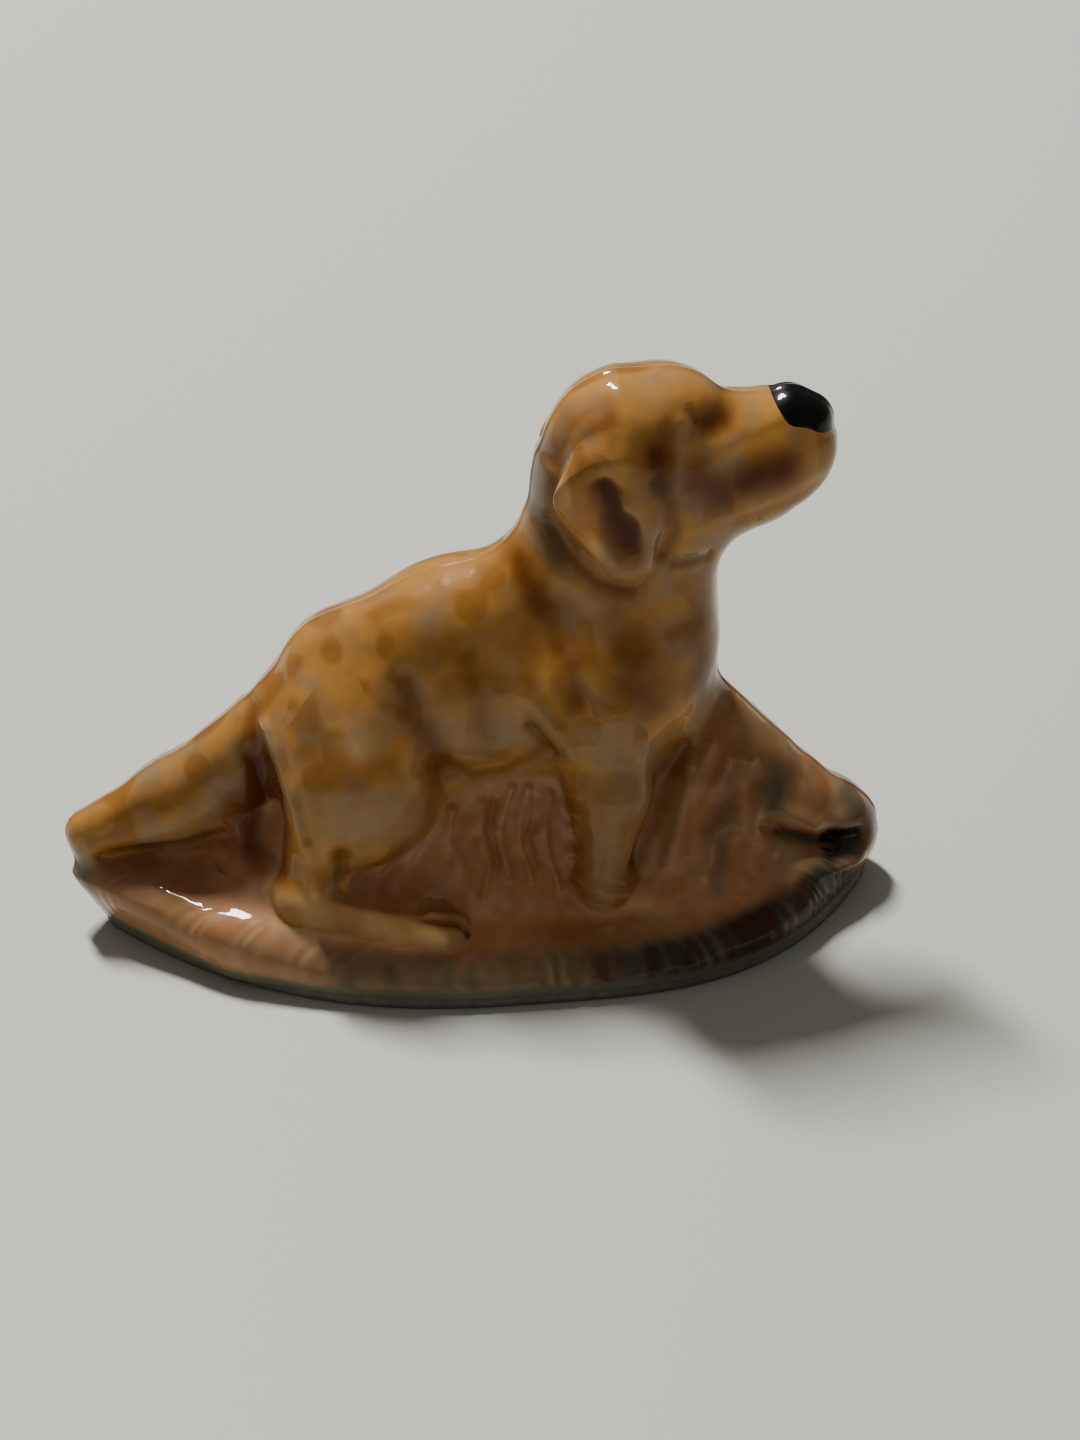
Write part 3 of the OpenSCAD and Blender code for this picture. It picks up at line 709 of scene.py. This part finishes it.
def face_wash(colour, q, forms, cloud):
    """The colour made a fifth lighter on the head, with painted light on the back of the ears
    and in the patches of painted light, which make it darker where their strength is
    negative; then brown in the sprayed spots, partly painted shade in the eye hollow, and in
    the cup of the ear."""
    on_ear = smooth_step(0.5, 0.1, forms["ear"])
    # a fifth lighter on the head; painted light on the back of the ears and in the listed
    # patches
    thin = 0.2 * smooth_step(0.4, 0.0, forms["head"])
    thin += 0.9 * on_ear * smooth_step(7.4, 6.4, q[:, 0])
    for points, width, more in painted_light_patches:
        thin += more * stroke(q, points, width)
    colour = colour * (1 + thin)[:, None]
    brown = 1.08 * stroke(q, [(7.3, 27.6), (7.8, 26.2), (8.3, 24.5)], 1.5)
    brown *= on_ear * smooth_step(0.1, 0.8, ear_edge(q))
    # sprayed brown, partly painted shade in the eye hollow
    for points, width, strength in sprayed_and_socket_shade:
        brown = np.maximum(brown, strength * stroke(q, points, width))
    return laid(colour, BROWN, 0.95 * np.clip(brown * (0.75 + 0.5 * cloud), 0, 1))


waiting.append(dict(form="ear", nodes=["left_ear", "right_ear"], glaze=coat_glaze,
                    slot="ear_glaze", start=(7.1, 3.7, 27.8), end=(7.9, 4.3, 24.6),
                    around=220, along=200, reach=6, up=(0, 1, 0), thin=0.5))

# ---------------------------------------------------------------------------
# PRESSING AND GLAZING. All the forms are worked into one body of clay, pressed,
# fired, washed with oxide stains and glazed; each form is skinned on its own,
# up to the crease where it meets its neighbours.
# ---------------------------------------------------------------------------
def clay(p):
    """Distance to the worked clay, and to each named form before it was worked in;
    both halves of the dog are alike, so Y is taken without its sign."""
    p = p.astype(np.float32).copy()
    p[:, 1] = np.abs(p[:, 1])
    forms = {"plinth": slab_distance(p)}
    whole = forms["plinth"]
    for name, rolled in lumps.items():
        for lump in rolled:
            d = lump_distance(p, lump)
            forms[name] = np.minimum(forms[name], d) if name in forms else d
            whole = soft_min(whole, d, lump[5])
    return whole, forms


def past_join(forms, name):
    """How far a point is on the wrong side of a form's joins with its neighbours."""
    if name == "plinth":
        other = np.min([d for n, d in forms.items() if n != "plinth"], axis=0)
        return forms["plinth"] - np.maximum(other, -0.4)
    own = forms[name]
    other = np.min([d for n, d in forms.items() if n not in (name, "plinth")], axis=0)
    return np.maximum(own - other, np.maximum(own, -0.4) - forms["plinth"])


def dog_distance(forms):
    """Distance to the nearest form of the dog itself."""
    return np.min([d for n, d in forms.items() if n not in ("plinth", "ground", "bank")],
                  axis=0)


def tooled(p, forms):
    """Height of everything cut in the dies: each tool mark, ear, toes, grass, flutes, the
    unevenness of the hand, calmer on the head, and the seam where the dies meet."""
    q = p.astype(np.float32)
    h = ear_marks(q, forms) + toe_marks(q, forms) + rim_marks(q, forms)
    h += grass_marks(q, forms, dog_distance(forms))
    for points, width, height in marks:
        h += height * stroke(q, points, width)
    calm = 1 - 0.75 * smooth_step(0.6, -0.4, forms["head"])
    h += calm * (0.12 * (mottle(q, 2.6, 1.0) - 0.5) + 0.06 * (mottle(q, 1.1, 2.0) - 0.5))
    seam = np.exp(-(q[:, 1] / 0.2) ** 2) * smooth_step(3.2, 4.2, q[:, 2])
    return h + 0.07 * seam


def washed(p, n, forms, hollow):
    """Stain at each point, laid in the order of the sections above and darkened in the
    creases where the glaze pools; the fourth channel is how whole the glaze is."""
    q = p.astype(np.float32)
    cloud = (mottle(q, 2.2, 11.0) * 0.4 + mottle(q, 1.1, 17.0) * 0.35
             + mottle(q, 0.55, 5.0) * 0.25)
    bare = np.maximum(patches(q, wiped, 41.0), ear_wiped(q, forms))
    colour = coat_wash(q, n, cloud, bare)
    colour = chest_wash(colour, q, bare)
    colour = leg_wash(colour, q, forms, bare)
    colour = haunch_painted_shade(colour, q)
    colour = face_wash(colour, q, forms, cloud)
    earth = np.min([forms[k] for k in ("ground", "bank", "plinth")], axis=0)
    on_earth = smooth_step(-0.2, 0.35, dog_distance(forms) - earth)
    soil = rim_wash(bank_wash(ground_wash(q), q, forms), q, forms, cloud)
    colour = tail_wash_and_shade(laid(colour, soil, on_earth), q)
    colour *= 1 - ((0.9 - 0.5 * on_earth) * hollow)[:, None] * (0.45, 0.55, 0.68)
    return np.column_stack([np.clip(colour, 0.001, 1), 1 - 0.97 * stroke(q, WORN, 1.5)])


def gradient(p, with_marks):
    """Outward unit normal: the change of the distance along each axis."""
    g = []
    for axis in range(3):
        shift = np.zeros(3)
        shift[axis] = 0.04
        value = []
        for s in (shift, -shift):
            whole, forms = clay(p + s)
            value.append(whole - tooled(p + s, forms) if with_marks else whole)
        g.append(value[0] - value[1])
    g = np.stack(g, 1)
    return g / np.maximum(np.linalg.norm(g, axis=1), 1e-9)[:, None]


def press(form, origins, rays, reach, floor):
    """Ends of rays on the clay: each is halved again and again, kept inside the clay, the
    form's own joins and the given floor."""
    near, far = np.zeros(len(rays)), np.full(len(rays), float(reach))
    for _ in range(16):
        mid = (near + far) / 2
        at = origins + mid[:, None] * rays
        whole, forms = clay(at)
        past = past_join(forms, form)
        outside = np.maximum(np.maximum(whole + 0.1 * np.maximum(past, 0), past - 0.5),
                             floor - at[:, 2]) > 0
        far = np.where(outside, mid, far)
        near = np.where(outside, near, mid)
    return origins + near[:, None] * rays


def finished(p):
    """A pressed skin lifted by its tool marks, with its normals and its stain."""
    _, forms = clay(p)
    p = p + gradient(p, False) * tooled(p, forms)[:, None]
    n = gradient(p, True)
    air = np.zeros(len(p))
    for out in (0.35, 0.9):
        whole, _ = clay(p + n * out)
        air += np.clip(whole / out, 0, 1) / 2
    _, forms = clay(p)
    hollow = np.clip(1.2 * (1 - air) + np.clip(-tooled(p, forms) * 1.2, 0, 0.5), 0, 1)
    return p, n, washed(p, n, forms, hollow)


def form_skin(form, start, end, around, along, reach, up=(0, 0, 1), thin=1.0):
    """Skin of one form: rings of rays about its centre line, with a fan at each end; the
    rings are flattened by thin on one side."""
    a, b = np.array(start, float), np.array(end, float)
    span = np.linalg.norm(b - a)
    axis = (b - a) / span
    side = np.cross(up, axis)
    side /= np.linalg.norm(side)
    over = np.cross(axis, side)
    run = span / (span + reach)
    low, high = (1 - run) / 2, (1 + run) / 2
    v = np.linspace(0, 1, along + 1)
    tilt = np.radians(np.where(v < low, -90 + 90 * v / low,
                               np.where(v > high, 90 - 90 * (1 - v) / (1 - high), 0)))
    centre = a + (b - a) * np.clip((v - low) / run, 0, 1)[:, None]
    u = np.linspace(0, 2 * np.pi, around, endpoint=False)
    ring = np.cos(u)[:, None] * side + np.sin(u)[:, None] * thin * over
    rays = np.cos(tilt)[:, None, None] * ring[None] + np.sin(tilt)[:, None, None] * axis
    rays = np.vstack([-axis, rays[1:-1].reshape(-1, 3), axis])
    rays /= np.linalg.norm(rays, axis=1)[:, None]
    origins = np.vstack([a, np.repeat(centre[1:-1], around, axis=0), b])
    return finished(press(form, origins, rays, reach, GLAZE_LINE))


def plinth_skin(around, rings):
    """Skin of the slab: rays from one centre, level at the foot of the wall and lifting
    to the crown, closed by a flat underside at the glaze line."""
    c = np.array([1.0, 0, GLAZE_LINE])
    tilt = np.radians(90 * np.linspace(0, 1, rings, endpoint=False) ** 1.3)
    u = np.linspace(0, 2 * np.pi, around, endpoint=False)
    rays = np.stack([np.outer(np.cos(tilt), 20.6 * np.cos(u)),
                     np.outer(np.cos(tilt), 11.2 * np.sin(u)),
                     np.outer(np.sin(tilt), np.full(around, 4.6))], 2).reshape(-1, 3)
    rays = np.vstack([rays, [0, 0, 1]])
    rays /= np.linalg.norm(rays, axis=1)[:, None]
    p, n, colour = finished(np.vstack([c, press("plinth", c, rays, 26.0, 0.0)]))
    p[:around + 1, 2] = GLAZE_LINE
    p[0, :2] = c[:2]
    n[0] = (0, 0, -1)
    return p, n, colour


def add_piece(name, skin, around, rings, material, mirrored):
    """Mesh of a skin: a fan, rings of quads and a fan, with its normals and its wash."""
    p, n, colour = skin
    i = np.arange(around)
    j = (i + 1) % around
    last = 1 + rings * around
    first_fan = np.stack([0 * i, 1 + j, 1 + i], 1)
    row = 1 + around * np.arange(rings - 1)[:, None]
    quads = np.stack([row + i, row + j, row + around + j, row + around + i], 2).reshape(-1, 4)
    last_fan = np.stack([0 * i + last, last - around + i, last - around + j], 1)
    if mirrored:
        p, n = p * (1, -1, 1), n * (1, -1, 1)
        first_fan, quads, last_fan = first_fan[:, ::-1], quads[:, ::-1], last_fan[:, ::-1]
    corners = np.concatenate([first_fan.ravel(), quads.ravel(), last_fan.ravel()])
    sizes = np.repeat([3, 4, 3], [around, len(quads), around])
    mesh = bpy.data.meshes.new(name)
    mesh.vertices.add(len(p))
    mesh.vertices.foreach_set("co", (p * MM).ravel())
    mesh.loops.add(len(corners))
    mesh.loops.foreach_set("vertex_index", corners)
    mesh.polygons.add(len(sizes))
    mesh.polygons.foreach_set("loop_start", np.cumsum(sizes) - sizes)
    mesh.polygons.foreach_set("loop_total", sizes)
    mesh.update(calc_edges=True)
    mesh.validate()
    mesh.shade_smooth()
    mesh.normals_split_custom_set_from_vertices(n.tolist())
    wash = mesh.attributes.new("wash", "FLOAT_COLOR", "POINT")
    wash.data.foreach_set("color", colour.ravel())
    mesh.materials.append(material)
    piece = bpy.data.objects.new("glazed_" + name, mesh)
    bpy.context.scene.collection.objects.link(piece)
    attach(piece, "root")
    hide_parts(name)


for job in waiting:
    around, along = count(job.pop("around")), count(job.pop("along"))
    names, glazed, slot = job.pop("nodes"), job.pop("glaze"), job.pop("slot")
    if job["form"] == "plinth":
        skin, rings = plinth_skin(around, along), along
    else:
        skin, rings = form_skin(around=around, along=along, **job), along - 1
    for name in names:
        add_piece(name, skin, around, rings, glazed, mirrored=name.startswith("right_"))

# ---------------------------------------------------------------------------
# FLOOR, LIGHT AND CAMERA. A pale grey-green table top, one lamp above and
# behind the figurine and a dim even room.
# ---------------------------------------------------------------------------
floor_mesh = bpy.data.meshes.new("floor")
floor_mesh.from_pydata([(-2, -2, 0), (2, -2, 0), (2, 2, 0), (-2, 2, 0)], [], [(0, 1, 2, 3)])
floor = bpy.data.objects.new("floor", floor_mesh)
bpy.context.scene.collection.objects.link(floor)
table_top = bpy.data.materials.new("table top")
table_top.use_nodes = True
table_shader = table_top.node_tree.nodes["Principled BSDF"]
table_shader.inputs["Base Color"].default_value = (0.625, 0.65, 0.605, 1)
table_shader.inputs["Roughness"].default_value = 0.55
floor_mesh.materials.append(table_top)

world = bpy.data.worlds.new("room")
world.use_nodes = True
world.node_tree.nodes["Background"].inputs["Color"].default_value = (1.0, 0.95, 0.86, 1)
world.node_tree.nodes["Background"].inputs["Strength"].default_value = 0.15
bpy.context.scene.world = world

LAMP_AZIMUTH, LAMP_HEIGHT, LAMP_DISTANCE = math.radians(113), math.radians(60), 0.7
lamp_data = bpy.data.lights.new("lamp", "AREA")
lamp_data.shape = "RECTANGLE"
lamp_data.size = 0.06
lamp_data.size_y = 0.18
lamp_data.energy = 6.6
lamp_data.color = (1.0, 0.97, 0.92)
lamp = bpy.data.objects.new("lamp", lamp_data)
toward_lamp = Vector((math.cos(LAMP_HEIGHT) * math.cos(LAMP_AZIMUTH),
                      math.cos(LAMP_HEIGHT) * math.sin(LAMP_AZIMUTH), math.sin(LAMP_HEIGHT)))
lamp.location = toward_lamp * LAMP_DISTANCE
lamp.rotation_euler = toward_lamp.to_track_quat("Z", "Y").to_euler()
bpy.context.scene.collection.objects.link(lamp)

CAMERA_DISTANCE = 178      # modelled millimetres
azimuth, elevation, roll = math.radians(-5), math.radians(30), math.radians(-1.2)
camera_data = bpy.data.cameras.new("camera")
camera_data.lens = 80
camera_data.sensor_width = 36
camera_data.clip_start = 0.01
camera = bpy.data.objects.new("camera", camera_data)
back = Vector((math.sin(azimuth) * math.cos(elevation),
               -math.cos(azimuth) * math.cos(elevation), math.sin(elevation)))
level = (-back).cross(Vector((0, 0, 1))).normalized()
upright = level.cross(-back)
across = level * math.cos(roll) + upright * math.sin(roll)
upward = upright * math.cos(roll) - level * math.sin(roll)
target = Vector((3.9, 0, 11.2)) * MM
placed = Matrix((across, upward, back)).transposed().to_4x4()
placed.translation = target + back * CAMERA_DISTANCE * MM
camera.matrix_world = placed
bpy.context.scene.collection.objects.link(camera)
bpy.context.scene.camera = camera
